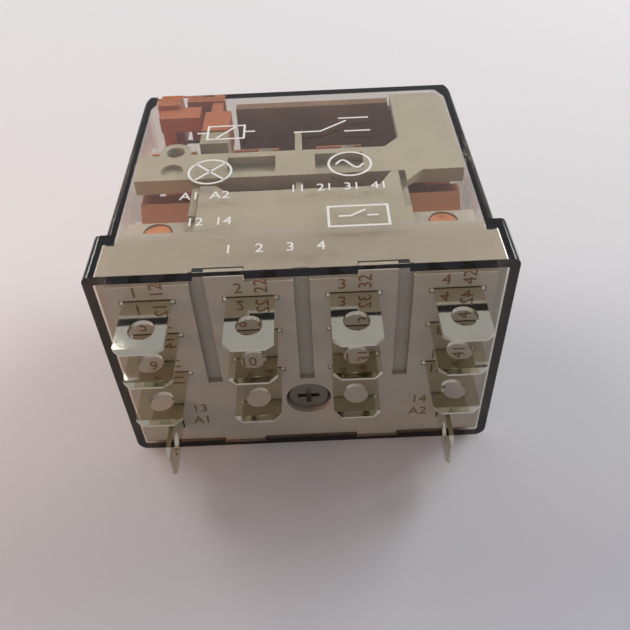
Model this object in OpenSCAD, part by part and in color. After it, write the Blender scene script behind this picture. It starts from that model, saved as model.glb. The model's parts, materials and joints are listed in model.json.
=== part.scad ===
// Plug-in power relay: four changeover contacts, smoked cover, test button and armature flag.
// X runs across the poles, Y from the blades to the button end, Z up from the coil side.
// Every module is drawn from the seating face at Y = 0, and place() then moves the origin
// to the middle of the relay's box, on the surface it lies on.

/* [Housing] */
// Distance from one pole to the next
pole_pitch = 10.2; // [10:0.1:14]
// Room from the outer poles' centres to the outside of the cover
side_room = 4.65; // [4.5:0.05:6]
// Depth of the cover from the seating face to its closed end
cover_d = 36.3; // [36:0.1:46]
// Thickness of the cover's wall
wall = 1; // [0.8:0.05:1.2]
// Step from the cover's side out to its flange
flange_step = 1.15; // [0.5:0.05:1.5]
// Depth of the flange
flange_d = 6.5; // [5:0.1:6.8]
// Radius of the cover's edges on the coil side
low_edge_r = 1.3; // [0.6:0.1:2]
// Radius of the cover's edges on the contact side
top_edge_r = 0.75; // [0.4:0.05:0.8]
// Depth of the base block
base_d = 7.4; // [7.2:0.1:9]

/* [Terminals] */
// Width of a blade
blade_w = 4.8; // [4:0.1:5]
// Thickness of a blade
blade_t = 0.5; // [0.4:0.05:0.8]
// Length of a blade below the seating face
blade_l = 7; // [5:0.1:9]
// Diameter of the hole in a blade
blade_hole = 2.6; // [1.6:0.1:3]
// Distance from a blade's hole to its tip
hole_to_tip = 3; // [2.4:0.1:4]
// Height from the common row to the normally open row
row_open = 6; // [5.8:0.1:8]
// Height from the normally open row to the normally closed row
row_closed = 4.7; // [4.6:0.1:6]
// Height from the normally closed row to the outside of the cover
head_room = 3.6; // [3.5:0.1:5]

/* [Magnet] */
// Diameter of the bobbin's flanges
bobbin_d = 10.2; // [9:0.1:13]
// Diameter of the winding
winding_d = 9.4; // [7:0.1:10]
// Diameter of the core
core_d = 5; // [4.4:0.1:6]
// Thickness of the yoke and of the armature
iron_t = 1.4; // [1.2:0.1:1.8]
// Half the width of the yoke
yoke_half_w = 9; // [8:0.1:9.4]
// Angle that the armature turns when it pulls in
armature_travel = 4; // [3:0.1:4]
// Room behind the armature, to the cover's closed end
armature_room = 4; // [3.8:0.1:6]

/* [Contacts] */
// Distance from the armature back to the open contacts' faces
contact_reach = 9.5; // [9:0.1:12]
// Diameter of a contact
contact_d = 3; // [2:0.1:3.4]
// Thickness of a contact's head
contact_t = 0.7; // [0.4:0.1:0.8]
// Width of a fixed contact strip
strip_w = 6; // [5:0.1:6]
// Thickness of a fixed contact strip
strip_t = 0.4; // [0.3:0.05:0.5]
// Thickness of a moving contact spring
spring_t = 0.3; // [0.2:0.05:0.4]
// Width of a braid
braid_w = 3.2; // [2:0.1:3.6]

/* [Button] */
// How far the test button stands out of the cover
button_proud = 1.8; // [1.5:0.1:2.5]

/* [Hidden] */
$fn = 48;
poles = [1:4];
cut = 0.5;                // how far a cutting shape runs past the face it opens
fit = 0.1;                // clearance between fixed pieces
run = 0.15;               // clearance between moving pieces
touch = 0.06;             // clearance left between two contacts that meet

// Housing
body_w = 3 * pole_pitch + 2 * side_room;
flange_w = body_w + 2 * flange_step;
low_z = wall + 0.3;       // underside of the yoke
coil_z = low_z + iron_t + 0.15 + bobbin_d / 2;
com_z = coil_z + bobbin_d / 2 + 0.3 + blade_t / 2;
no_z = com_z + row_open;
nc_z = no_z + row_closed;
body_h = nc_z + head_room;
roof_z = body_h - wall;   // inside of the cover over the contacts
corner_x = 1.1;           // cut corners of the cover's closed end
corner_y = 2.2;
back_y = cover_d - wall;  // inside of the cover's closed end
groove_w = 1.6;           // grooves between the terminal panels
groove_t = 0.9;
face_step = 0.35;         // how far the plain part of the face lies behind the panels
panel_x = 1.5 * pole_pitch + 3.9;
panel_low_z = com_z - 2.1;
band_y = base_d - 0.2;    // back of the band under the cover
rivet_y = base_d + 2.1;   // rivets that join the strips to the blades
tower_y = rivet_y + 1.7;  // back of the tower that holds the strips
tower_low_z = com_z + 1.2;
ledge_z = nc_z + blade_t / 2 + 0.55;
snap_x = 8;               // snap tabs that hold the cover
snap_w = 4.8;
snap_l = 0.9;
snap_t = wall / 2;
slot_fit = 0.05;          // clearance of a blade in its slot
notch = 0.4;              // room beside a blade for its barbs

// Magnet
armature_y = back_y - armature_room;     // armature's front face when it is pulled in
hinge = [0, armature_y, low_z + 0.1];
pole_y = armature_y - 0.1;
flange_t = 0.9;
bobbin_y = [base_d + iron_t + 0.3, pole_y - iron_t];
armature_top_z = coil_z + 7.1;
ear_x = [9.6, 13.6];
seat_y = armature_y - 6.8;               // tab that the return spring leans on
spring_pos = [11.6, coil_z + 1.5];       // X and Z of the return spring
screw_r = 1.5;
screw_head_r = 2.2;
screw_tip_y = base_d + 8.6;
recess_y = 2.2;
coil_terminal_z = coil_z - 1.7;

// Contacts, drawn with the armature pulled in
contact_dx = 1;                          // the contacts sit beside the strip's finger
contact_z = nc_z - 1.1;
no_face_y = armature_y - contact_reach;
moving_head_t = contact_t + 0.1;
contact_shank_r = 0.9;
spring_y = no_face_y + touch + moving_head_t;
spring_w = 3.6;
finger_w = 1.8;
turn = (contact_z - hinge[2]) * sin(armature_travel);
tilt = contact_d / 2 * sin(armature_travel);
nc_face_y = no_face_y + 2 * touch + 2 * moving_head_t + spring_t + turn + tilt;
nc_tab_y = nc_face_y + contact_t;
no_tab_y = no_face_y - contact_t - strip_t;
tab_top_z = nc_z + 0.45;

// Carrier, drawn with the armature pulled in
carrier_z = [com_z + 1.9, com_z + 4.1];
carrier_y = spring_y + spring_t;
carrier_half_w = body_w / 2 - wall - corner_x;
rivet_z = carrier_z[0] + 1.1;
lever_x = [-1.5 * pole_pitch + 3.4, -1.5 * pole_pitch + 6.8];
lever_y = [carrier_y - 0.26, carrier_y + 2.84];
lever_z = carrier_z[0] + 0.8;
apron_x = [lever_x[1] + 0.5, pole_pitch + 1.45];
apron_y = [armature_y + 0.2, armature_y + iron_t + 0.3];

// Cage over the contacts
bar_y = [no_face_y - 4.8, no_face_y + 0.4];
bar_z = [roof_z - 2, roof_z - 0.2];
barrier_x = pole_pitch + 1.1;
barrier_t = 0.8;
plate_z = [roof_z - 1, roof_z - 0.15];

// Button and flag
button_x = [-1.5 * pole_pitch - 2.9, -1.5 * pole_pitch - 0.1];
flag_x = [-1.5 * pole_pitch + 0.7, -1.5 * pole_pitch + 5.7];
window_z = roof_z - 6.4;
push_y = carrier_y + 5.3;                // back of the carrier's push rib, pulled in
push_z = roof_z - 5.4;
push_x = [button_x[0] + 0.6, button_x[0] + 4.4];
button_travel = (push_z - hinge[2]) * sin(armature_travel); // as far as the armature carries the rib
button_y = push_y + button_travel + run;

function pole_x(i) = (i - 2.5) * pole_pitch;
function span(middle, half) = [middle - half, middle + half];
function coil_x(i) = (i == 1 ? -1.5 : 1.5) * pole_pitch;

// A block between two values on each axis
module block(x, y, z) {
    translate([x[0], y[0], z[0]]) cube([x[1] - x[0], y[1] - y[0], z[1] - z[0]]);
}

// Everything is drawn from the seating face and moved here to the part's own origin
module place() {
    translate([0, (blade_l - cover_d - button_proud) / 2, 0]) children();
}

// An outline in X and Z, run along Y
module along_y(y) {
    translate([0, y[1], 0]) rotate([90, 0, 0]) linear_extrude(y[1] - y[0]) children();
}

// An outline in Y and Z, run along X
module along_x(x) {
    translate([x[0], 0, 0]) rotate([90, 0, 90]) linear_extrude(x[1] - x[0]) children();
}

// A round bar along Y at X and Z
module rod(r, y, x, z) {
    translate([x, y[1], z]) rotate([90, 0, 0]) cylinder(r = r, h = y[1] - y[0]);
}

// Turns what is drawn with the armature pulled in back to its rest
module released() {
    translate(hinge) rotate([-armature_travel, 0, 0]) translate(-hinge) children();
}

// The cover's section, with its own radii above and below
module case_outline(w, z, r_top, r_low) {
    translate([-w / 2, z[0] + r_low]) square([w, z[1] - z[0] - r_low - r_top]);
    translate([-w / 2 + r_low, z[0]]) square([w - 2 * r_low, 2 * r_low]);
    translate([-w / 2 + r_top, z[1] - 2 * r_top]) square([w - 2 * r_top, 2 * r_top]);
    for (s = [-1, 1]) {
        translate([s * (w / 2 - r_low), z[0] + r_low]) circle(r = r_low);
        translate([s * (w / 2 - r_top), z[1] - r_top]) circle(r = r_top);
    }
}

// The case with its closed end's corners cut and its last edges rounded
module case_solid(inset, from_y) {
    w = body_w - 2 * inset;
    d = cover_d - inset;
    z = [inset, body_h - inset];
    r_top = max(top_edge_r - inset, 0.2);
    r_low = max(low_edge_r - inset, 0.3);
    intersection() {
        along_x([-w, w]) {
            translate([from_y, z[0]]) square([d - r_top - from_y, z[1] - z[0]]);
            translate([from_y, z[0] + r_top]) square([d - from_y, z[1] - z[0] - 2 * r_top]);
            for (c = [z[0] + r_top, z[1] - r_top]) translate([d - r_top, c]) circle(r = r_top);
        }
        along_y([from_y, d]) case_outline(w, z, r_top, r_low);
        linear_extrude(body_h) polygon([[-w / 2, from_y], [w / 2, from_y], [w / 2, d - corner_y],
            [w / 2 - corner_x, d], [corner_x - w / 2, d], [-w / 2, d - corner_y]]);
    }
    along_y([from_y, flange_d - inset]) case_outline(flange_w - 2 * inset, z, r_top, r_low);
}

module cover() {
    x0 = button_x[0] - run;
    x1 = flag_x[1] + run;
    xm = (button_x[1] + flag_x[0]) / 2;
    color([0.34, 0.29, 0.24, 0.45]) place() difference() {
        case_solid(0, 0);
        case_solid(wall, -cut);
        for (s = [-1, 1]) for (z = [[roof_z - cut, roof_z + snap_t], [wall - snap_t, wall + cut]])
            block([s * snap_x - snap_w / 2 - fit, s * snap_x + snap_w / 2 + fit], [-cut, snap_l + fit], z);
        block([x0, x1], [back_y - corner_y, cover_d + cut], [window_z, roof_z]);
        block([x0, xm], [back_y, cover_d + cut], [window_z, body_h + cut]);
        block([xm, x1], [cover_d - 0.45, cover_d + cut], [window_z, body_h + cut]);
    }
}

// Slots for a row of contact blades and for the strips riveted to them
module row_slots(z, strip_low, strip_top) {
    for (i = poles) {
        block(span(pole_x(i), blade_w / 2 + slot_fit), [-cut, tower_y + cut],
            span(z, blade_t / 2 + slot_fit));
        block(span(pole_x(i), blade_w / 2 + notch), [-cut, face_step + 0.5], span(z, blade_t / 2 + 0.1));
        if (strip_top > strip_low)
            block(span(pole_x(i), strip_w / 2 + fit), [base_d - 1.1, tower_y + cut],
                [z + strip_low, z + strip_top]);
    }
}

module base_block() {
    color("#b3a88c") place() difference() {
        union() {
            block([-1, 1] * (flange_w / 2 - wall - fit), [0, flange_d - wall - fit],
                [wall + fit, roof_z - fit]);
            block([-1, 1] * (body_w / 2 - wall - fit), [0, band_y], [wall + fit, roof_z - fit]);
            block([-1, 1] * (body_w / 2 - wall - fit), [0, base_d], [wall + fit, ledge_z]);
            block([-1, 1] * (body_w / 2 - wall - 0.2), [0, tower_y], [tower_low_z, ledge_z]);
            for (s = [-1, 1]) block(span(s * snap_x, snap_w / 2), [0, snap_l],
                [wall + fit - snap_t, roof_z + snap_t - fit]);
        }
        for (x = [-1, 0, 1]) block(span(x * pole_pitch, groove_w / 2), [-cut, groove_t],
            [panel_low_z, body_h]);
        difference() {
            block([-1, 1] * flange_w, [-cut, face_step], [0, body_h]);
            block([-1, 1] * panel_x, [-1, 1], [panel_low_z, roof_z - 0.5]);
            for (s = [-1, 1]) block(span(s * snap_x, snap_w / 2 + 0.1), [-1, 1], [panel_low_z, body_h]);
        }
        row_slots(nc_z, -blade_t / 2 - strip_t - fit, blade_t / 2 + fit);
        row_slots(no_z, -blade_t / 2 - strip_t - fit, blade_t / 2 + 0.5);
        row_slots(com_z, 0, 0);
        for (i = [1, 2]) {
            block(span(coil_x(i), blade_t / 2 + slot_fit), [-cut, base_d + cut],
                span(coil_terminal_z, blade_w / 2 + slot_fit));
            block(span(coil_x(i), blade_t / 2 + 0.1), [-cut, face_step + 0.5],
                span(coil_terminal_z, blade_w / 2 + notch));
        }
        for (i = poles) translate([pole_x(i), rivet_y, nc_z]) cylinder(r = 1.6, h = 2);
        rod(screw_head_r + 0.4, [-cut, recess_y], 0, coil_z);
        rod(screw_r + fit, [0, base_d + cut], 0, coil_z);
    }
}

// Bar over the contacts, with a pocket over each pole, walls between the poles and a side plate
module contact_cage() {
    plate_x = pole_pitch + 1.8;
    side_x = body_w / 2 - wall - 0.25;
    boss = [pole_x(1) + 0.7, bar_y[1] + 0.6];
    color("#b8ad92") place() difference() {
        union() {
            block([-side_x, side_x], bar_y, bar_z);
            for (s = [-1, 1]) block(span(s * (barrier_x + barrier_t / 2), barrier_t / 2),
                [tower_y, no_face_y], [tower_low_z + 0.3, plate_z[0]]);
            block([-1, 1] * barrier_t / 2, [tower_y, no_tab_y], [tower_low_z + 0.3, plate_z[0]]);
            block([-1, 1] * barrier_t / 2, [no_tab_y - 1, nc_tab_y + 0.3], [no_z, bar_z[1]]);
            translate([0, 0, roof_z - 1.1]) linear_extrude(0.9) polygon([[plate_x, bar_y[0] - 2.1],
                [side_x, bar_y[1] - 0.2], [side_x, back_y - corner_y - 0.2],
                [side_x - 0.9, back_y - 0.5], [plate_x, back_y - 0.5],
                [plate_x, bar_y[1] + 2], [plate_x - 1.8, bar_y[1]], [plate_x - 1.8, bar_y[0]],
                [plate_x, bar_y[0]]]);
            translate([boss[0], boss[1], bar_z[1] - 1.1]) cylinder(r = 1.9, h = 1.1);
        }
        for (x = [-0.5, 0.5]) block([x * pole_pitch - 3.2, x * pole_pitch + 2.4], bar_y + [1, -1],
            [bar_z[1] - 1.2, bar_z[1] + cut]);
        translate([boss[0], boss[1], bar_z[0] - cut]) cylinder(r = 1.1, h = 2 + 2 * cut);
        translate([boss[0], bar_y[0] + 1.9, bar_z[1] - 0.5]) cylinder(r = 1.3, h = 2);
    }
}

// Plate over the two middle poles
module centre_plate() {
    x = barrier_x - 0.1;
    y = [band_y + 0.05, bar_y[0] - 2.9];
    color("#b8ad92") place() translate([0, 0, plate_z[0]]) linear_extrude(plate_z[1] - plate_z[0])
        polygon([[-x + 0.2, y[0]], [x + 0.7, y[0]], [x + 0.7, y[0] + 2.8], [x, y[0] + 2.8],
            [x, bar_y[0] - 0.1], [x - 0.8, bar_y[0] - 0.1], [x - 2.2, y[1] + 0.4], [x - 3.4, y[1]],
            [-x + 3.2, y[1]], [-x + 1.9, y[1] + 1.3], [-x + 0.2, y[1] + 1.4]]);
}

// A blade lying flat, with cut corners and a thinned tip, from its tip to its inner end
module blade(inner) {
    tip_cut = 0.8;
    thin_l = 0.6;
    thin_t = blade_t * 0.28;
    w = blade_w / 2;
    t = blade_t / 2;
    difference() {
        intersection() {
            translate([0, 0, -t]) linear_extrude(blade_t) polygon([[-w, inner], [-w, tip_cut - blade_l],
                [tip_cut - w, -blade_l], [w - tip_cut, -blade_l], [w, tip_cut - blade_l], [w, inner]]);
            along_x([-w, w]) polygon([[-blade_l, -t + thin_t], [thin_l - blade_l, -t], [inner, -t],
                [inner, t], [thin_l - blade_l, t], [-blade_l, t - thin_t]]);
        }
        translate([0, hole_to_tip - blade_l, -1]) cylinder(r = blade_hole / 2, h = 2);
    }
    block([-1, 1] * (w + notch - 0.08), [0.05, face_step + 0.4], [-t, t]);
}

module strip_hole(z) {
    translate([0, rivet_y, z - 2]) cylinder(r = 0.8 + fit / 2, h = 4);
}

module contact_terminal(i, z) {
    color("#cfccc0") place() translate([pole_x(i), 0, z]) difference() {
        blade(tower_y - 0.4);
        strip_hole(0);
    }
}

module com_terminal(i) {
    color("#cfccc0") place() translate([pole_x(i), 0, com_z]) blade(tower_y + 1.6);
}

module coil_terminal(i) {
    color("#cfccc0") place() translate([coil_x(i), 0, coil_terminal_z]) rotate([0, 90, 0])
        blade(base_d + 3.6);
}

// Strip of the closed contact: a trough that lets it give, a finger past the moving contact,
// and a tab across behind it
module nc_strip(i) {
    z = nc_z - blade_t / 2;
    y0 = tower_y + 0.8;
    y1 = bar_y[0] - 0.7;
    room = y1 - y0;           // the trough fills the room between the tower and the bar
    dip = room * 0.42;
    path = [[base_d - 1, z], [y0, z], [y0 + room * 0.37, z - dip], [y1 - room * 0.4, z - dip],
        [y1, z], [bar_y[0] + 0.8, z]];
    back = [for (k = [len(path) - 1:-1:0]) path[k] - [0, strip_t]];
    finger = [-strip_w / 2, finger_w - strip_w / 2];
    color("#c07f52") place() translate([pole_x(i), 0, 0]) difference() {
        union() {
            along_x([-1, 1] * strip_w / 2) polygon(concat(path, back));
            block(finger, [bar_y[0] + 0.8, nc_tab_y + strip_t], [z - strip_t, z]);
            block([finger[0], contact_dx + 1.6], [nc_tab_y, nc_tab_y + strip_t],
                [contact_z - 2.6, contact_z + 1.3]);
        }
        strip_hole(nc_z);
    }
}

// Strip of the open contact, turned up at its end
module no_strip(i) {
    z = no_z - blade_t / 2;
    color("#c07f52") place() translate([pole_x(i), 0, 0]) difference() {
        union() {
            block([-1, 1] * strip_w / 2, [base_d - 1, no_tab_y - 2], [z - strip_t, z]);
            block([contact_dx - 1.8, contact_dx + 1.8], [base_d, no_tab_y + strip_t], [z - strip_t, z]);
            block([contact_dx - 1.8, contact_dx + 1.8], [no_tab_y, no_tab_y + strip_t],
                [z - strip_t, tab_top_z]);
        }
        strip_hole(no_z);
    }
}

module nc_contacts() {
    color("#e4e1da") place() for (i = poles)
        rod(contact_d / 2, [nc_face_y, nc_tab_y], pole_x(i) + contact_dx, contact_z);
}

module no_contacts() {
    color("#e4e1da") place() for (i = poles)
        rod(contact_d / 2, [no_face_y - contact_t, no_face_y], pole_x(i) + contact_dx, contact_z);
}

module moving_contacts() {
    back = spring_y + spring_t;
    color("#e4e1da") place() released() for (i = poles) {
        rod(contact_d / 2, [spring_y - moving_head_t, spring_y], pole_x(i) + contact_dx, contact_z);
        rod(contact_d / 2, [back, back + moving_head_t], pole_x(i) + contact_dx, contact_z);
        rod(contact_shank_r, [spring_y - 0.1, back + 0.1], pole_x(i) + contact_dx, contact_z);
    }
}

// Contact spring that stands up from the front of the carrier
module moving_spring(i) {
    x = pole_x(i) + contact_dx;
    color("#c98b58") place() released() difference() {
        block(span(x, spring_w / 2), [spring_y, spring_y + spring_t], [com_z + 0.8, tab_top_z]);
        rod(contact_shank_r + fit / 2, [spring_y - cut, spring_y + cut], x, contact_z);
        rod(0.55, [spring_y - cut, spring_y + cut], x, rivet_z);
    }
}

// Braid from the common blade to the foot of the moving spring
module braid(i) {
    steps = 20;
    t = 0.5;
    start = [tower_y + 0.2, com_z + blade_t / 2];
    foot_y = hinge[1] + (spring_y - hinge[1]) * cos(armature_travel)
        + (com_z + 1.5 - hinge[2]) * sin(armature_travel);
    end = [foot_y - 0.15, com_z + 1.75];
    slack = 1.7;
    function mid(k) = start + (end - start) * k / steps + [0, slack * pow(sin(180 * k / steps), 2)];
    line = [for (k = [0:steps]) mid(k)];
    top = [for (k = [steps:-1:0]) mid(k) + [0, t]];
    color("#c9946a") place() along_x(span(pole_x(i) + contact_dx, braid_w / 2))
        polygon(concat(line, top));
}

// Copper rivets that join the strips to their blades
module strip_rivets() {
    color("#c9793f") place() for (i = poles) for (z = [nc_z, no_z])
        translate([pole_x(i), rivet_y, z + blade_t / 2]) {
            cylinder(r = 1.45, h = 0.4);
            translate([0, 0, -blade_t - strip_t]) cylinder(r = 0.8, h = blade_t + strip_t + 0.2);
        }
}

module spring_rivets() {
    color("#d8d2c4") place() released() for (i = poles) {
        rod(1, [spring_y - 0.4, spring_y], pole_x(i) + contact_dx, rivet_z);
        rod(0.5, [spring_y - 0.2, carrier_y + 2], pole_x(i) + contact_dx, rivet_z);
    }
}

// L-shaped yoke with a tab for the return spring
module yoke() {
    color("#8f9296") place() difference() {
        union() {
            block([-1, 1] * yoke_half_w, [base_d, base_d + iron_t], [low_z, com_z - blade_t]);
            block([-1, 1] * yoke_half_w, [base_d, armature_y - 0.05], [low_z, low_z + iron_t]);
            block([0, ear_x[1]], [seat_y - 4, seat_y], [low_z, low_z + iron_t]);
            block(ear_x, [seat_y - iron_t, seat_y], [low_z, spring_pos[1] + 2.2]);
        }
        rod(screw_r + fit, [0, base_d + iron_t + cut], 0, coil_z);
    }
}

module core() {
    color("#a2a4a6") place() difference() {
        union() {
            rod(core_d / 2, [base_d + iron_t, pole_y], 0, coil_z);
            rod(4.6, [bobbin_y[1], pole_y], 0, coil_z);
        }
        rod(screw_r + 0.05, [base_d, screw_tip_y + 0.2], 0, coil_z);
        difference() {
            rod(3.3, [pole_y - 0.8, pole_y + cut], 0, coil_z);
            rod(2.3, [pole_y - 1, pole_y + 1], 0, coil_z);
        }
    }
}

// Copper ring let into the pole face
module shading_ring() {
    color("#b87345") place() difference() {
        rod(3.25, [pole_y - 0.8, pole_y - 0.05], 0, coil_z);
        rod(2.35, [pole_y - 1, pole_y + 1], 0, coil_z);
    }
}

module core_screw() {
    color("#8a8177") place() difference() {
        union() {
            rod(screw_head_r, [recess_y - 1.4, recess_y], 0, coil_z);
            rod(screw_r, [recess_y - 0.2, screw_tip_y], 0, coil_z);
        }
        for (turned = [0, 90]) translate([0, recess_y - 1.4, coil_z]) rotate([0, turned, 0])
            block([-1.25, 1.25], [-cut, 0.75], [-0.28, 0.28]);
    }
}

module bobbin() {
    half = bobbin_d / 2;
    color("#d8d3c6") place() difference() {
        union() {
            block([-1, 1] * (half + 2.4), [bobbin_y[0], bobbin_y[0] + flange_t], span(coil_z, half));
            block([-1, 1] * (half + 2.4), [bobbin_y[1] - flange_t, bobbin_y[1]], span(coil_z, half));
            rod(core_d / 2 + 0.6, bobbin_y, 0, coil_z);
        }
        rod(core_d / 2 + 0.05, bobbin_y + [-cut, cut], 0, coil_z);
    }
}

module winding() {
    y = bobbin_y + [flange_t, -flange_t];
    color("#a5562a") place() difference() {
        rod(winding_d / 2, y, 0, coil_z);
        rod(core_d / 2 + 0.6, y + [-cut, cut], 0, coil_z);
    }
}

// Two lead wires from the winding to the coil blades
module coil_leads() {
    r = 0.2;
    drop = 3;
    x0 = sqrt(pow(winding_d / 2, 2) - pow(drop - r, 2)) + 0.02;
    color("#a5562a") place() for (a = [-90, 90])
        translate([0, bobbin_y[0] + flange_t + 0.5, coil_z - drop]) rotate([0, a, 0])
            translate([0, 0, x0]) cylinder(r = r, h = 1.5 * pole_pitch - blade_t / 2 - 0.02 - x0);
}

module armature() {
    color("#9a9da0") place() released() union() {
        block([-1, 1] * (yoke_half_w - 0.4), [armature_y, armature_y + iron_t],
            [hinge[2], armature_top_z]);
        block([0, ear_x[1]], [armature_y, armature_y + iron_t], span(spring_pos[1], 2.4));
    }
}

// Dark carrier on the armature, with a tall back
module carrier() {
    half = yoke_half_w + 0.2;
    color("#3a2a20") place() released() difference() {
        union() {
            block([-1, 1] * carrier_half_w, [carrier_y, armature_y + iron_t + 0.7], carrier_z);
            block([-1, 1] * half, [armature_y - 1.1, armature_y + 0.1], [com_z - 0.1, carrier_z[1]]);
            block([-1, 1] * half, [armature_y + iron_t - 0.1, armature_y + iron_t + 0.7],
                [spring_pos[1] + 2.6, carrier_z[1]]);
            block(apron_x, apron_y, [carrier_z[1] - 0.5, roof_z - 0.45]);
            block([apron_x[1] - 1, apron_x[1] + 2.5], apron_y, [carrier_z[1] - 0.5, roof_z - 1.5]);
        }
        block([-1, 1] * (yoke_half_w - 0.4), [armature_y, armature_y + iron_t],
            [hinge[2], armature_top_z]);
        block(lever_x + [-0.05, 0.05], lever_y + [-1, 0.05], [lever_z - 0.05, roof_z]);
        block([push_x[0] - 0.05, lever_x[1]], [push_y - 1.45, push_y + 5], [lever_z - 0.05, roof_z]);
        block([lever_x[0] - 0.05, lever_x[1] + 0.05], lever_y + [0, 4], [lever_z - 0.05, roof_z]);
        for (i = poles) rod(0.55, [carrier_y - cut, carrier_y + 2.05], pole_x(i) + contact_dx, rivet_z);
    }
}

// Lever that stands in the carrier, holds the flag and is pushed by the button
module lever() {
    color("#b8ad92") place() released() union() {
        block(lever_x, lever_y, [lever_z, roof_z - 0.7]);
        block(lever_x, [lever_y[0], push_y], [lever_z, carrier_z[1]]);
        block([push_x[0], lever_x[1]], [push_y - 1.4, push_y], [lever_z, carrier_z[1]]);
        block(push_x, [push_y - 1.4, push_y], [lever_z, push_z]);
    }
}

// Spring that pushes the armature off the pole
module return_spring() {
    turns = 6;
    per_turn = 12;
    sides = 6;
    coil_r = 1.7;
    wire_r = 0.2;
    end_y = armature_y + (spring_pos[1] - hinge[2] - coil_r) * sin(armature_travel) - wire_r - 0.1;
    start_y = seat_y + wire_r + 0.02;
    n = turns * per_turn;
    ring = [for (k = [0:n]) for (j = [0:sides - 1])
        let (a = 360 * k / per_turn, r = coil_r + wire_r * cos(360 * j / sides))
        [spring_pos[0] + r * cos(a), start_y + (end_y - start_y) * k / n + wire_r * sin(360 * j / sides),
            spring_pos[1] + r * sin(a)]];
    wall_faces = [for (k = [0:n - 1]) for (j = [0:sides - 1])
        let (m = (j + 1) % sides) [k * sides + j, (k + 1) * sides + j, (k + 1) * sides + m, k * sides + m]];
    ends = [[for (j = [0:sides - 1]) j], [for (j = [sides - 1:-1:0]) n * sides + j]];
    color("#9aa0a6") place() polyhedron(points = ring, faces = concat(wall_faces, ends));
}

// Orange flag on the carrier's lever, seen in the cover's window
module armature_flag() {
    top = roof_z - 0.3;
    end_y = cover_d - 0.9;
    arm_x = lever_x + [0.7, -1.3];
    color("#d9772b") place() released() union() {
        block(lever_x + [0, -0.1], [lever_y[1], lever_y[1] + 5.4], [roof_z - 4.7, roof_z - 0.5]);
        block(arm_x, [lever_y[1], end_y], [roof_z - 2.7, roof_z - 0.5]);
        block(flag_x, [end_y - 1.4, end_y], [roof_z - 5.8, top]);
    }
}

module test_button() {
    color("#d9772b") place() union() {
        block(button_x, [button_y + 4.4, cover_d + button_proud], [window_z + run, roof_z - fit]);
        block([button_x[0] + 0.4, button_x[0] + 5.6], [button_y + 1.9, button_y + 4.7],
            [roof_z - 2.6, roof_z - 0.6]);
        block([push_x[0], push_x[0] + 1.8], [button_y, button_y + 4.7], [window_z - 0.4, push_z + 0.3]);
        block([push_x[0], push_x[0] + 1.2], [button_y + 3.8, button_y + 4.7],
            [window_z - 0.4, roof_z - 0.6]);
    }
}

cover();
base_block();
contact_cage();
centre_plate();
for (i = poles) {
    contact_terminal(i, nc_z);
    contact_terminal(i, no_z);
    com_terminal(i);
    nc_strip(i);
    no_strip(i);
    moving_spring(i);
    braid(i);
}
for (i = [1, 2]) coil_terminal(i);
nc_contacts();
no_contacts();
moving_contacts();
strip_rivets();
spring_rivets();
yoke();
core();
core_screw();
shading_ring();
bobbin();
winding();
coil_leads();
armature();
carrier();
lever();
return_spring();
armature_flag();
test_button();
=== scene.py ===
"""Looks of a plug-in power relay with a smoked cover, built round its CAD frame as an add-on."""
import json
import math
import bmesh
import bpy
from mathutils import Matrix, Vector


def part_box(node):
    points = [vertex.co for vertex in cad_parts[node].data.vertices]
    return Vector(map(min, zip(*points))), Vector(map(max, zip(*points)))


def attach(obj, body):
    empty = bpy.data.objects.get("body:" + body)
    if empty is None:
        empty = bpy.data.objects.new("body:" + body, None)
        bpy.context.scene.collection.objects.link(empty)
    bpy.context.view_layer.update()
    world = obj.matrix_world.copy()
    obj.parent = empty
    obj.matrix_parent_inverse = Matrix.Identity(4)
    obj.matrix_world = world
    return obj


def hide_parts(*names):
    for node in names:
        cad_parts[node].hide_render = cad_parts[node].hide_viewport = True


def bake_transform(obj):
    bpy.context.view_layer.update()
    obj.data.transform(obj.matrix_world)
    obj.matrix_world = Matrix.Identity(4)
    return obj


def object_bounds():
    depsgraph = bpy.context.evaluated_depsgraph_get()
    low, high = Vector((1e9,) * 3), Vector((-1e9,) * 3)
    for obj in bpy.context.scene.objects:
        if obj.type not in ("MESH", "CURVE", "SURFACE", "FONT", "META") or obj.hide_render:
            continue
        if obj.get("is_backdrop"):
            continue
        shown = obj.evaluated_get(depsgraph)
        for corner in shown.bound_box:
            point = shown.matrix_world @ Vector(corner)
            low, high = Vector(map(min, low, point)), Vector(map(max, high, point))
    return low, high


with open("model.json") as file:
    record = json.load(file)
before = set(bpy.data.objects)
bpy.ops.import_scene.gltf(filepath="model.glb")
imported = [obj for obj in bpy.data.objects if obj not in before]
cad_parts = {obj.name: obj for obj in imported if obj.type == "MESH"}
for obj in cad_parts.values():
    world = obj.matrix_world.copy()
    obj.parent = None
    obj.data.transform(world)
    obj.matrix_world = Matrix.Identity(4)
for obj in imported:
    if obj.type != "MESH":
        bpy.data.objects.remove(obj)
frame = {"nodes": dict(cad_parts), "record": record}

bl_info = {
    "name": "Plug-in Relay Looks",
    "version": (1, 0, 0),
    "blender": (4, 5, 0),
    "location": "3D View > Sidebar > Relay",
    "description": "Finishes, print, winding and stage for a plug-in power relay",
    "category": "Object",
}

MM = 0.001
POLES = range(4)
FLANGE_D = 6.5 * MM         # how far the cover's flange reaches back from its open end
FACE_STEP = 0.35 * MM       # how far the plain part of the face lies behind the panels


# ---------------------------------------------------------------- sizes

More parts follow.
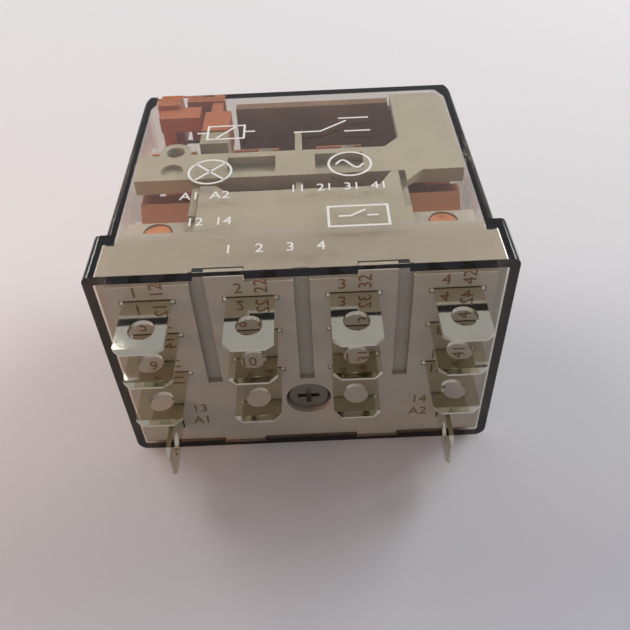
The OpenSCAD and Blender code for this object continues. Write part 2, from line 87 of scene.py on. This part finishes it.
class RelayPrint(bpy.types.PropertyGroup):
    panel_text: bpy.props.FloatProperty(
        name="Terminal numeral height", description="Height of the moulded numerals",
        default=1.9 * MM, unit="LENGTH")
    cover_text: bpy.props.FloatProperty(
        name="Cover print height", description="Height of the printed lettering",
        default=1.9 * MM, unit="LENGTH")
    line: bpy.props.FloatProperty(
        name="Line width", description="Width of a printed line",
        default=0.26 * MM, unit="LENGTH")
    thick: bpy.props.FloatProperty(
        name="Print thickness", description="Thickness of the print on the surface",
        default=0.03 * MM, unit="LENGTH")


class RelayCoil(bpy.types.PropertyGroup):
    wire: bpy.props.FloatProperty(
        name="Wire diameter", description="Diameter of the enamelled wire as it is drawn",
        default=0.3 * MM, unit="LENGTH")
    strand: bpy.props.FloatProperty(
        name="Strand diameter", description="Diameter of one strand of a braid",
        default=0.32 * MM, unit="LENGTH")
    strands: bpy.props.IntProperty(
        name="Strands", description="Strands that a braid holds", default=8)
    slack: bpy.props.FloatProperty(
        name="Braid slack", description="Height of a braid's arc above its straight line",
        default=1.6 * MM, unit="LENGTH")
    spring_wire: bpy.props.FloatProperty(
        name="Spring wire diameter", description="Diameter of the return spring's wire",
        default=0.4 * MM, unit="LENGTH")
    spring_turns: bpy.props.FloatProperty(
        name="Spring turns", description="Turns of the return spring", default=6.0)


class RelayStage(bpy.types.PropertyGroup):
    key: bpy.props.FloatProperty(
        name="Back lights", description="Strength of the two large lights at the back",
        default=1.0)
    warm: bpy.props.FloatProperty(
        name="Warm light", description="Strength of the warm light from the left", default=1.0)
    sky: bpy.props.FloatProperty(
        name="Light all round", description="Strength of the light from all round",
        default=0.42)


# ---------------------------------------------------------------- materials

def linear(r, g, b):
    """A colour named by its 0-255 display values, as linear light."""
    def one(c):
        c = c / 255
        return c / 12.92 if c <= 0.04045 else ((c + 0.055) / 1.055) ** 2.4
    return (one(r), one(g), one(b), 1)


# sockets of a Mix node that mixes colours, which share their names with its other kinds
MIX_FACTOR, MIX_A, MIX_B, MIX_RESULT = 0, 6, 7, 2


class Nodes:
    """Small helper that adds and joins shader nodes."""

    def __init__(self, name):
        self.mat = bpy.data.materials.new(name)
        self.mat.use_nodes = True
        self.tree = self.mat.node_tree
        self.tree.nodes.clear()
        self.out = self.add("ShaderNodeOutputMaterial")

    def add(self, kind, **settings):
        n = self.tree.nodes.new(kind)
        for k, v in settings.items():
            setattr(n, k, v)
        return n

    def join(self, a, b):
        self.tree.links.new(a, b)

    def coords(self):
        return self.add("ShaderNodeTexCoord").outputs["Object"]

    def depth(self):
        """How far back a point lies, along Y."""
        place = self.add("ShaderNodeSeparateXYZ")
        self.join(self.coords(), place.inputs["Vector"])
        return place.outputs["Y"]

    def noise(self, size_mm, detail, rough=0.5):
        n = self.add("ShaderNodeTexNoise")
        n.inputs["Scale"].default_value = 1000 / size_mm
        n.inputs["Detail"].default_value = detail
        n.inputs["Roughness"].default_value = rough
        self.join(self.coords(), n.inputs["Vector"])
        return n.outputs["Fac"]

    def ramp(self, fac, stops):
        r = self.add("ShaderNodeValToRGB")
        while len(r.color_ramp.elements) < len(stops):
            r.color_ramp.elements.new(0.5)
        for e, (pos, colour) in zip(r.color_ramp.elements, stops):
            e.position = pos
            e.color = colour
        self.join(fac, r.inputs["Fac"])
        return r.outputs["Color"]

    def spread(self, fac, low, high):
        """The middle of a noise's range, spread from low to high."""
        m = self.add("ShaderNodeMapRange")
        m.inputs["From Min"].default_value = 0.3
        m.inputs["From Max"].default_value = 0.7
        m.inputs["To Min"].default_value = low
        m.inputs["To Max"].default_value = high
        self.join(fac, m.inputs["Value"])
        return m.outputs["Result"]

    def bump(self, fac, depth_mm):
        b = self.add("ShaderNodeBump")
        b.inputs["Distance"].default_value = depth_mm * MM
        self.join(fac, b.inputs["Height"])
        return b.outputs["Normal"]


def shaded(colour, change):
    """A colour made lighter or darker by a part of itself."""
    return tuple(min(1, c * (1 + change)) for c in colour[:3]) + (1,)


def plastic(name, colour, vary=0.05, rough=0.42):
    """Moulded plastic with soft clouds of tone and a fine grain."""
    n = Nodes(name)
    p = n.add("ShaderNodeBsdfPrincipled")
    clouds = n.ramp(n.noise(5, 3), [(0.3, shaded(colour, -vary)), (0.7, shaded(colour, vary))])
    n.join(clouds, p.inputs["Base Color"])
    n.join(n.spread(n.noise(0.7, 2), rough - 0.06, rough + 0.08), p.inputs["Roughness"])
    p.inputs["Specular IOR Level"].default_value = 0.42
    n.join(n.bump(n.noise(0.25, 2), 0.02), p.inputs["Normal"])
    n.join(p.outputs["BSDF"], n.out.inputs["Surface"])
    return n.mat


def metal(name, colour, rough, vary=0.05, scratch=0.004):
    """Bare metal with faint stains and fine scratches."""
    n = Nodes(name)
    p = n.add("ShaderNodeBsdfPrincipled")
    p.inputs["Metallic"].default_value = 1
    stains = n.ramp(n.noise(2.2, 4, 0.6), [(0.32, shaded(colour, -vary)), (0.66, colour)])
    n.join(stains, p.inputs["Base Color"])
    n.join(n.spread(n.noise(1.1, 4, 0.65), rough * 0.7, rough * 1.35), p.inputs["Roughness"])
    n.join(n.bump(n.noise(0.5, 3, 0.6), scratch), p.inputs["Normal"])
    n.join(p.outputs["BSDF"], n.out.inputs["Surface"])
    return n.mat


def smoked(name, colour, tint, per_metre, painted_rim_shade):
    """Clear moulding that bends light and darkens with the distance that light goes in it.

    per_metre holds the density in the walls and in the thicker flange. The end of the
    open side, which is looked at along the whole wall, takes the rim colour, a painted
    shade that stands in for the light lost along the wall."""
    n = Nodes(name)
    front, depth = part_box("cover")[0].y, n.depth()

    def behind(y):
        """0 before y and 1 behind it, over a tenth of a millimetre."""
        step = n.add("ShaderNodeMapRange")
        step.inputs["From Min"].default_value = y
        step.inputs["From Max"].default_value = y + 0.1 * MM
        n.join(depth, step.inputs["Value"])
        return step

    glass = n.add("ShaderNodeBsdfPrincipled")
    glass.inputs["Transmission Weight"].default_value = 1
    glass.inputs["IOR"].default_value = 1.5
    glass.inputs["Roughness"].default_value = 0.012
    shade = n.add("ShaderNodeMix", data_type="RGBA")
    # the open end takes the near-black rim colour: painted shade for the light lost along the
    # wall
    shade.inputs[MIX_A].default_value = painted_rim_shade
    shade.inputs[MIX_B].default_value = tint
    n.join(behind(front + 0.02 * MM).outputs["Result"], shade.inputs[MIX_FACTOR])
    n.join(shade.outputs[MIX_RESULT], glass.inputs["Base Color"])
    clear = n.add("ShaderNodeBsdfTransparent")
    ray = n.add("ShaderNodeLightPath")
    mix = n.add("ShaderNodeMixShader")
    n.join(ray.outputs["Is Shadow Ray"], mix.inputs["Fac"])
    n.join(glass.outputs["BSDF"], mix.inputs[1])
    n.join(clear.outputs["BSDF"], mix.inputs[2])
    n.join(mix.outputs["Shader"], n.out.inputs["Surface"])
    body = n.add("ShaderNodeVolumeAbsorption")
    body.inputs["Color"].default_value = colour
    dense = behind(front + FLANGE_D)
    walls, flange = per_metre
    dense.inputs["To Min"].default_value = flange
    dense.inputs["To Max"].default_value = walls
    n.join(dense.outputs["Result"], body.inputs["Density"])
    n.join(body.outputs["Volume"], n.out.inputs["Volume"])
    return n.mat


FINISHES = {
    # the cover's rim colour is painted shade: the open end is drawn near black
    "smoked_clear": (smoked, dict(colour=(0.42, 0.34, 0.22, 1), tint=(0.915, 0.9, 0.87, 1),
                                  per_metre=(80, 200), painted_rim_shade=(0.012, 0.01, 0.008, 1))),
    "base_plastic": (plastic, dict(colour=linear(176, 168, 153))),
    "light_plastic": (plastic, dict(colour=linear(170, 163, 143))),
    "dark_plastic": (plastic, dict(colour=linear(126, 97, 66), vary=0.25, rough=0.35)),
    "bobbin_plastic": (plastic, dict(colour=linear(214, 208, 190))),
    "tin_plate": (metal, dict(colour=linear(222, 218, 200), rough=0.07, vary=0.06,
                              scratch=0.002)),
    "copper_strip": (metal, dict(colour=linear(228, 160, 118), rough=0.34, vary=0.08)),
    "copper_braid": (metal, dict(colour=linear(214, 142, 104), rough=0.38, vary=0.12)),
    "copper_rivet": (metal, dict(colour=linear(222, 150, 108), rough=0.4, vary=0.08)),
    "silver_contact": (metal, dict(colour=linear(236, 234, 226), rough=0.14)),
    "bright_steel": (metal, dict(colour=linear(205, 203, 198), rough=0.25)),
    "spring_steel": (metal, dict(colour=linear(186, 188, 190), rough=0.25)),
    "soft_iron": (metal, dict(colour=linear(160, 160, 160), rough=0.35)),
    "screw_steel": (metal, dict(colour=linear(150, 144, 136), rough=0.36, vary=0.12)),
    "enamelled_wire": (plastic, dict(colour=linear(128, 62, 34), vary=0.12, rough=0.25)),
    "orange_plastic": (plastic, dict(colour=linear(174, 98, 50), vary=0.06, rough=0.45)),
    "numeral": (plastic, dict(colour=linear(128, 96, 66), vary=0.06, rough=0.5)),
    "cover_print": (plastic, dict(colour=linear(232, 232, 226), vary=0.03, rough=0.55)),
}
made = {}


def finish(name):
    """The finish's material, made when it is first asked for."""
    if name not in made:
        maker, values = FINISHES[name]
        made[name] = maker(name, **values)
    return made[name]


# ---------------------------------------------------------------- shapes

def keep(obj, slot, body, name):
    """Shows a made object as a piece of the relay, on its body and in its finish."""
    obj.name = name
    obj.data.name = name
    if not obj.data.materials:
        obj.data.materials.append(finish(slot))
    if body:
        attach(obj, body)
    return obj


def mesh_object(name, build):
    """An object at the origin whose mesh is filled by build(bmesh)."""
    mesh = bpy.data.meshes.new(name)
    bm = bmesh.new()
    build(bm)
    bm.to_mesh(mesh)
    bm.free()
    obj = bpy.data.objects.new(name, mesh)
    bpy.context.scene.collection.objects.link(obj)
    return obj


def baked(obj):
    """obj as a plain mesh with its modifiers applied, standing at the origin, unturned."""
    deps = bpy.context.evaluated_depsgraph_get()
    mesh = bpy.data.meshes.new_from_object(obj.evaluated_get(deps))
    mesh.transform(obj.matrix_world)
    name = obj.name
    bpy.data.objects.remove(obj)
    out = bpy.data.objects.new(name, mesh)
    bpy.context.scene.collection.objects.link(out)
    return out


def words(text, height, thick, place):
    """A line of lettering as a mesh, standing on the plane that place turns it to."""
    curve = bpy.data.curves.new("words", "FONT")
    curve.body = text
    curve.size = height
    curve.align_x = "CENTER"
    curve.align_y = "CENTER"
    curve.extrude = thick
    curve.resolution_u = 3
    obj = bpy.data.objects.new("words", curve)
    bpy.context.scene.collection.objects.link(obj)
    obj.matrix_world = place
    bpy.context.view_layer.update()
    return baked(obj)


def joined(objects, name):
    """Several meshes as one object."""
    bm = bmesh.new()
    for o in objects:
        bm.from_mesh(o.data)
        bpy.data.objects.remove(o)
    mesh = bpy.data.meshes.new(name)
    bm.to_mesh(mesh)
    bm.free()
    out = bpy.data.objects.new(name, mesh)
    bpy.context.scene.collection.objects.link(out)
    return out


def moved(obj, x, y, z):
    obj.data.transform(Matrix.Translation((x, y, z)))
    return obj


def smooth(obj):
    for f in obj.data.polygons:
        f.use_smooth = True
    return obj


def stroke(points, width, thick, top, closed):
    """A printed line along points on the cover's upper side, mitred at its corners."""
    pts = [Vector((x, y)) * MM for x, y in points]
    count = len(pts)

    def normal(a, b):
        along = (pts[b % count] - pts[a % count]).normalized()
        return Vector((-along.y, along.x))

    def offset(k):
        first, last = (k == 0, k == count - 1) if not closed else (False, False)
        one = normal(k, k + 1) if first else normal(k - 1, k)
        two = normal(k - 1, k) if last else normal(k, k + 1)
        mean = (one + two).normalized()
        sharpest = 0.3      # keeps the mitre of a sharp corner short
        return mean * width / 2 / max(sharpest, mean.dot(one))

    def build(bm):
        rings = []
        for k, p in enumerate(pts):
            d = offset(k)
            rings.append([bm.verts.new((c.x, c.y, z)) for c, z in (
                (p + d, top), (p - d, top), (p - d, top + thick), (p + d, top + thick))])
        pairs = zip(rings, rings[1:] + rings[:1]) if closed else zip(rings, rings[1:])
        for a, b in pairs:
            for k in range(4):
                m = (k + 1) % 4
                bm.faces.new((a[k], a[m], b[m], b[k]))
        if not closed:
            bm.faces.new(rings[0][::-1])
            bm.faces.new(rings[-1])
        bmesh.ops.recalc_face_normals(bm, faces=bm.faces)

    return mesh_object("stroke", build)


def ring(radius):
    """Points on a circle, in order."""
    sides = 36
    turns = [2 * math.pi * k / sides for k in range(sides)]
    return [(radius * math.cos(a), radius * math.sin(a)) for a in turns]


# ---------------------------------------------------------------- geometry node trees

class Rule:
    """A geometry node tree with named inputs, ending in Realize Instances and Set Material."""

    def __init__(self, name):
        self.group = bpy.data.node_groups.new(name, "GeometryNodeTree")
        self.group.interface.new_socket(
            name="Geometry", in_out="OUTPUT", socket_type="NodeSocketGeometry")
        self.inp = self.group.nodes.new("NodeGroupInput")
        self.out = self.group.nodes.new("NodeGroupOutput")

    def size(self, name, kind="Float", default=0.0):
        s = self.group.interface.new_socket(
            name=name, in_out="INPUT", socket_type="NodeSocket" + kind)
        s.default_value = default
        return self.inp.outputs[name]

    def add(self, kind, values=(), **settings):
        n = self.group.nodes.new(kind)
        for k, v in settings.items():
            setattr(n, k, v)
        for k, v in dict(values).items():
            self.put(n.inputs[k], v)
        return n

    def put(self, socket, value):
        if isinstance(value, bpy.types.NodeSocket):
            self.group.links.new(value, socket)
        else:
            socket.default_value = value

    def maths(self, op, *values):
        n = self.add("ShaderNodeMath", operation=op)
        for socket, v in zip(n.inputs, values):
            self.put(socket, v)
        return n.outputs[0]

    def close(self, geometry, material):
        real = self.add("GeometryNodeRealizeInstances", {"Geometry": geometry})
        paint = self.add("GeometryNodeSetMaterial", {
            "Geometry": real.outputs["Geometry"], "Material": material})
        self.group.links.new(paint.outputs["Geometry"], self.out.inputs["Geometry"])

    def grow(self, name, values):
        """The tree's result as a plain mesh object."""
        mesh = bpy.data.meshes.new(name)
        obj = bpy.data.objects.new(name, mesh)
        bpy.context.scene.collection.objects.link(obj)
        mod = obj.modifiers.new("rule", "NODES")
        mod.node_group = self.group
        for item in self.group.interface.items_tree:
            if item.in_out == "INPUT" and item.name in values:
                mod[item.identifier] = values[item.name]
        bpy.context.view_layer.update()
        return baked(obj)


def helix_rule():
    """Round wire wound along Y."""
    r = Rule("wound_wire")
    turns, radius = r.size("Turns", default=10), r.size("Radius")
    length, wire = r.size("Length"), r.size("Wire radius")
    spiral = r.add("GeometryNodeCurveSpiral", {
        "Resolution": 28, "Rotations": turns, "Start Radius": radius, "End Radius": radius,
        "Height": length})
    section = r.add("GeometryNodeCurvePrimitiveCircle", {"Resolution": 8, "Radius": wire})
    tube = r.add("GeometryNodeCurveToMesh", {
        "Curve": spiral.outputs[0], "Profile Curve": section.outputs[0], "Fill Caps": True})
    turned = r.add("GeometryNodeTransform", {
        "Geometry": tube.outputs[0], "Rotation": (math.radians(-90), 0, 0)})
    return r, turned.outputs[0]


def braid_rule():
    """Strands that cross one another along a strip with a slack curve.

    A lap takes a strand across the strip and back, and every second strand starts the other
    way. A strand rises and dips by its own radius twice in each lap."""
    r = Rule("woven_braid")
    y0, y1 = r.size("Start Y"), r.size("End Y")
    z0, z1 = r.size("Start Z"), r.size("End Z")
    slack, width = r.size("Slack"), r.size("Width")
    wire, count = r.size("Wire radius"), r.size("Strands", "Int", 8)
    laps = 2.5
    line = r.add("GeometryNodeCurvePrimitiveLine")
    fine = r.add("GeometryNodeResampleCurve", {"Curve": line.outputs[0], "Count": 64})
    many = r.add("GeometryNodeDuplicateElements", {
        "Geometry": fine.outputs[0], "Amount": count}, domain="SPLINE")
    index = many.outputs["Duplicate Index"]
    t = r.add("GeometryNodeSplineParameter").outputs["Factor"]
    lean = r.maths("SUBTRACT", 1, r.maths("MULTIPLY", 2, r.maths("MODULO", index, 2)))
    run = r.maths("ADD", r.maths("MULTIPLY", lean, r.maths("MULTIPLY", t, laps)),
                  r.maths("DIVIDE", index, count))
    across = r.maths("SUBTRACT", r.maths("MULTIPLY", r.maths("PINGPONG", run, 0.5), 4), 1)
    x = r.maths("MULTIPLY", across, r.maths("MULTIPLY", width, 0.5))
    weave = r.maths("MULTIPLY", r.maths("SINE", r.maths("MULTIPLY", run, 4 * math.pi)), wire)
    arc = r.maths("POWER", r.maths("SINE", r.maths("MULTIPLY", t, math.pi)), 2)
    y = r.maths("ADD", y0, r.maths("MULTIPLY", t, r.maths("SUBTRACT", y1, y0)))
    rise = r.maths("ADD", z0, r.maths("MULTIPLY", t, r.maths("SUBTRACT", z1, z0)))
    z = r.maths("ADD", r.maths("ADD", rise, r.maths("MULTIPLY", arc, slack)), weave)
    at = r.add("ShaderNodeCombineXYZ", {"X": x, "Y": y, "Z": z})
    bent = r.add("GeometryNodeSetPosition", {
        "Geometry": many.outputs[0], "Position": at.outputs[0]})
    section = r.add("GeometryNodeCurvePrimitiveCircle", {"Resolution": 6, "Radius": wire})
    tube = r.add("GeometryNodeCurveToMesh", {
        "Curve": bent.outputs[0], "Profile Curve": section.outputs[0], "Fill Caps": True})
    return r, tube.outputs[0]


# ---------------------------------------------------------------- operators

class RELAY_OT_finishes(bpy.types.Operator):
    """Give every moulded and metal piece of the relay its finish"""
    bl_idname = "relay.finishes"
    bl_label = "Moulded and metal finishes"

    def execute(self, context):
        slots = {s["node"]: s["material_slot"] for s in frame["record"]["subparts"]}
        for node, obj in frame["nodes"].items():
            obj.data.materials.clear()
            obj.data.materials.append(finish(slots[node]))
        return {"FINISHED"}


class RELAY_OT_winding(bpy.types.Operator):
    """Wind the coil's enamelled wire"""
    bl_idname = "relay.winding"
    bl_label = "Coil winding"

    def execute(self, context):
        sizes = context.scene.relay_coil
        lo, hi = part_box("winding")
        half_wire = sizes.wire / 2
        length = hi.y - lo.y - 2 * half_wire
        rule, tube = helix_rule()
        rule.close(tube, finish("enamelled_wire"))
        coil = rule.grow("winding_wire", {
            "Turns": length / (2 * half_wire), "Radius": (hi.z - lo.z) / 2 - half_wire,
            "Length": length, "Wire radius": half_wire})
        low = min(v.co.y for v in coil.data.vertices)
        moved(coil, 0, lo.y + half_wire / 4 - low, (lo.z + hi.z) / 2)
        keep(smooth(coil), "enamelled_wire", "housing", "winding_wire")
        return {"FINISHED"}


class RELAY_OT_braids(bpy.types.Operator):
    """Weave the four flexible braids"""
    bl_idname = "relay.braids"
    bl_label = "Flexible braids"

    def execute(self, context):
        sizes = context.scene.relay_coil
        rule, tube = braid_rule()
        rule.close(tube, finish("copper_braid"))
        for i in POLES:
            node = "braid_%d" % (i + 1)
            lo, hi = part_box(node)
            half_wire = sizes.strand / 2
            ends = [v.co for v in frame["nodes"][node].data.vertices]
            last = min(v.z for v in ends if v.y > hi.y - 0.02 * MM)      # under its far end
            braid = rule.grow(node + "_strands", {
                "Start Y": lo.y + half_wire, "End Y": hi.y - half_wire,
                "Start Z": lo.z + half_wire * 2, "End Z": last + half_wire * 2,
                "Slack": sizes.slack, "Width": hi.x - lo.x - 2 * half_wire,
                "Wire radius": half_wire, "Strands": sizes.strands})
            moved(braid, (lo.x + hi.x) / 2, 0, 0)
            keep(smooth(braid), "copper_braid", None, node + "_strands")
            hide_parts(node)
            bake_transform(braid)
        return {"FINISHED"}


class RELAY_OT_return_spring(bpy.types.Operator):
    """Wind the armature's return spring"""
    bl_idname = "relay.return_spring"
    bl_label = "Return spring"

    def execute(self, context):
        sizes = context.scene.relay_coil
        lo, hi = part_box("return_spring")
        half_wire = sizes.spring_wire / 2
        rule, tube = helix_rule()
        rule.close(tube, finish("spring_steel"))
        spring = rule.grow("return_spring_wire", {
            "Turns": sizes.spring_turns, "Radius": (hi.x - lo.x) / 2 - half_wire,
            "Length": hi.y - lo.y - 2 * half_wire, "Wire radius": half_wire})
        low = min(v.co.y for v in spring.data.vertices)
        moved(spring, (lo.x + hi.x) / 2, lo.y - low, (lo.z + hi.z) / 2)
        keep(smooth(spring), "spring_steel", None, "return_spring_wire")
        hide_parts("return_spring")
        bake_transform(spring)
        return {"FINISHED"}


def upright(x, y, z):
    """Turns lettering to stand on the terminal face, read from the blades' side."""
    return Matrix.Translation((x, y, z)) @ Matrix.Rotation(math.radians(90), 4, "X")


class RELAY_OT_numerals(bpy.types.Operator):
    """Mould the terminal numbers on the face that the blades leave"""
    bl_idname = "relay.numerals"
    bl_label = "Terminal numbers"

    def execute(self, context):
        size = context.scene.relay_print
        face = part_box("base_block")[0].y
        low_face = face + FACE_STEP
        aside, inwards = 1.15 * MM, 2.6 * MM      # from the middle of a contact or coil blade
        gap, lift = 0.15 * MM, 0.25 * MM          # over a blade, and of the turned number
        upper, lower = 3.4 * MM, 1.2 * MM         # over a coil blade's lower edge
        lines = []
        for row, kind in enumerate(("nc", "no", "com")):
            for i in POLES:
                lo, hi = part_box("%s_terminal_%d" % (kind, i + 1))
                x, z = (lo.x + hi.x) / 2, hi.z + gap + size.panel_text * 0.5
                lines.append((str(4 * row + i + 1), x - aside, face, z, 0))
                pole = "%d%d" % (i + 1, (2, 4, 1)[row])
                lines.append((pole, x + aside, face, z + lift, 90))
        for i, name, side in ((1, "13", 1), (2, "14", -1)):
            lo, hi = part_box("coil_terminal_%d" % i)
            x = (lo.x + hi.x) / 2 + side * inwards
            lines.append((name, x, low_face, lo.z + upper, 0))
            lines.append(("A%d" % i, x, low_face, lo.z + lower, 0))
        made_words = [words(t, size.panel_text, size.thick,
                            upright(x, y, z) @ Matrix.Rotation(math.radians(turn), 4, "Z"))
                      for t, x, y, z, turn in lines]
        keep(joined(made_words, "terminal_numbers"), "numeral", "housing", "terminal_numbers")
        return {"FINISHED"}


class RELAY_OT_cover_print(bpy.types.Operator):
    """Print a plain wiring diagram and pole numbers on the cover"""
    bl_idname = "relay.cover_print"
    bl_label = "Cover print"

    def execute(self, context):
        size = context.scene.relay_print
        lo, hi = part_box("cover")
        top, y0 = hi.z, lo.y / MM
        marks = []

        def draw(points, closed, shift):
            """A line along points, in millimetres from the middle of its symbol."""
            pts = [(x + shift[0], y + shift[1] + y0) for x, y in points]
            marks.append(stroke(pts, size.line, size.thick, top, closed))

        # coil, drawn as a box with a slanting stroke and two leads
        coil = (-8.7, 25.9)
        draw([(-2.2, -1.5), (2.2, -1.5), (2.2, 1.5), (-2.2, 1.5)], True, coil)
        draw([(-1.3, -1.5), (1.3, 1.5)], False, coil)
        draw([(-3.5, 0), (-2.3, 0)], False, coil)
        draw([(2.3, 0), (3.5, 0)], False, coil)
        # changeover contact
        contact = (4.1, 26.4)
        draw([(-4.6, -1.2), (-1.4, -1.2), (1.8, 1.1)], False, contact)
        draw([(0.9, 1.7), (4.6, 1.7)], False, contact)
        draw([(1.5, -1.4), (4.6, -1.4)], False, contact)
        # signs for a lamp and for alternating current
        lamp, mains, round_r = (-10.0, 17.4), (5.8, 17.8), 2.4
        tick = round_r * math.sqrt(0.5)
        draw(ring(round_r), True, lamp)
        draw([(-tick, -tick), (tick, tick)], False, lamp)
        draw([(-tick, tick), (tick, -tick)], False, lamp)
        draw(ring(round_r), True, mains)
        reach, swing, steps = 1.56, 0.8, 12
        wave = [(reach * (2 * k / steps - 1), swing * math.sin(2 * math.pi * k / steps))
                for k in range(steps + 1)]
        draw(wave, False, mains)
        # an open contact in a box
        box = (6.1, 8.0)
        draw([(-3.1, -1.7), (3.1, -1.7), (3.1, 1.7), (-3.1, 1.7)], True, box)
        draw([(-2.1, 0), (-0.8, 0), (0.8, 1.0)], False, box)
        draw([(0.9, 0), (2.1, 0)], False, box)
        texts = [("A1  A2", -10.2, 12.7), ("11  21  31  41", 4.3, 13.3), ("12  14", -9.4, 8.0),
                 ("1    2    3    4", -2.5, 3.3)]
        for text, x, y in texts:
            place = Matrix.Translation((x * MM, (y + y0) * MM, top + size.thick / 2))
            marks.append(words(text, size.cover_text, size.thick / 2, place))
        keep(joined(marks, "cover_print"), "cover_print", "housing", "cover_print")
        return {"FINISHED"}


def area(name, energy, colour, size, at, aim):
    """A rectangular light that stands at one point and shines on another."""
    light = bpy.data.lights.new(name, "AREA")
    light.shape = "RECTANGLE"
    light.size, light.size_y = size
    light.energy = energy
    light.color = colour
    obj = bpy.data.objects.new(name, light)
    bpy.context.scene.collection.objects.link(obj)
    obj.location = at
    obj.rotation_mode = "QUATERNION"
    obj.rotation_quaternion = (Vector(aim) - Vector(at)).to_track_quat("-Z", "Y")


class RELAY_OT_stage(bpy.types.Operator):
    """Set the paper floor, the soft lights and the camera"""
    bl_idname = "relay.stage"
    bl_label = "Floor, lights and camera"

    def execute(self, context):
        stage = context.scene.relay_stage
        lo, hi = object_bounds()
        paper = Nodes("paper")
        p = paper.add("ShaderNodeBsdfPrincipled")
        # the paper is painted darker and bluer towards the front: painted shade that stands in
        # for the fall-off of the back lights
        painted_falloff = paper.add("ShaderNodeMapRange")
        painted_falloff.inputs["From Min"].default_value = lo.y - 30 * MM
        painted_falloff.inputs["From Max"].default_value = hi.y
        paper.join(paper.depth(), painted_falloff.inputs["Value"])
        paper.join(paper.ramp(painted_falloff.outputs["Result"], [
            (0.0, linear(186, 190, 198)), (1.0, linear(222, 219, 218))]), p.inputs["Base Color"])
        p.inputs["Roughness"].default_value = 0.85
        p.inputs["Specular IOR Level"].default_value = 0.2
        paper.join(p.outputs["BSDF"], paper.out.inputs["Surface"])

        def sheet(bm):
            half, z = 1.5, lo.z - 0.02 * MM
            bm.faces.new([bm.verts.new((x, y, z)) for x, y in
                          ((-half, -half), (half, -half), (half, half), (-half, half))])

        floor = mesh_object("paper_floor", sheet)
        floor.data.materials.append(paper.mat)
        floor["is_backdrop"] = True

        large, middle = (0.26, 0.2), (0, 0, 0.01)
        area("window", energy=1.15 * stage.key, colour=(0.93, 0.96, 1.0), size=large,
             at=(0.30, 0.22, 0.28), aim=middle)
        area("room_light", energy=0.8 * stage.key, colour=(1.0, 0.96, 0.93), size=large,
             at=(-0.28, 0.24, 0.30), aim=middle)
        area("lamp", energy=0.07 * stage.warm, colour=(1.0, 0.44, 0.16), size=(0.08, 0.05),
             at=(-0.14, -0.05, 0.05), aim=(-0.04, -0.05, 0))
        world = bpy.data.worlds.new("room")
        world.use_nodes = True
        back = world.node_tree.nodes["Background"]
        back.inputs["Color"].default_value = (0.96, 0.95, 1.0, 1)
        back.inputs["Strength"].default_value = stage.sky
        context.scene.world = world
        context.scene.view_settings.view_transform = "Standard"

        cam = bpy.data.cameras.new("camera")
        cam.lens, cam.sensor_width = 40.4, 36
        cam.clip_start, cam.clip_end = 0.001, 10
        eye = bpy.data.objects.new("camera", cam)
        context.scene.collection.objects.link(eye)
        heading, tilt, roll = (math.radians(a) for a in (0.37, 45.64, -2.75))
        turn = (Matrix.Rotation(heading, 4, "Z") @ Matrix.Rotation(tilt, 4, "X")
                @ Matrix.Rotation(roll, 4, "Z"))
        at = (1.5 * MM, lo.y - 44.2 * MM, lo.z + 71.7 * MM)
        eye.matrix_world = Matrix.Translation(at) @ turn
        context.scene.camera = eye
        return {"FINISHED"}


GROUPS = ("relay_print", "relay_coil", "relay_stage")
STEPS = (RELAY_OT_finishes, RELAY_OT_winding, RELAY_OT_braids, RELAY_OT_return_spring,
         RELAY_OT_numerals, RELAY_OT_cover_print, RELAY_OT_stage)


class RELAY_PT_panel(bpy.types.Panel):
    """Sidebar panel that lists the relay's pieces"""
    bl_idname = "RELAY_PT_panel"
    bl_label = "Plug-in relay"
    bl_space_type = "VIEW_3D"
    bl_region_type = "UI"
    bl_category = "Relay"

    def draw(self, context):
        for group in GROUPS:
            values = getattr(context.scene, group)
            for key in values.bl_rna.properties.keys():
                if key not in ("rna_type", "name"):
                    self.layout.prop(values, key)
        for step in STEPS:
            self.layout.operator(step.bl_idname)


CLASSES = (RelayPrint, RelayCoil, RelayStage, *STEPS, RELAY_PT_panel)


def register():
    for c in CLASSES:
        bpy.utils.register_class(c)
    bpy.types.Scene.relay_print = bpy.props.PointerProperty(type=RelayPrint)
    bpy.types.Scene.relay_coil = bpy.props.PointerProperty(type=RelayCoil)
    bpy.types.Scene.relay_stage = bpy.props.PointerProperty(type=RelayStage)


def unregister():
    for group in GROUPS:
        delattr(bpy.types.Scene, group)
    for c in reversed(CLASSES):
        bpy.utils.unregister_class(c)


def main():
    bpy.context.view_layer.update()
    register()
    bpy.ops.relay.finishes()
    bpy.ops.relay.winding()
    bpy.ops.relay.braids()
    bpy.ops.relay.return_spring()
    bpy.ops.relay.numerals()
    bpy.ops.relay.cover_print()
    bpy.ops.relay.stage()


if __name__ == "__main__":
    main()
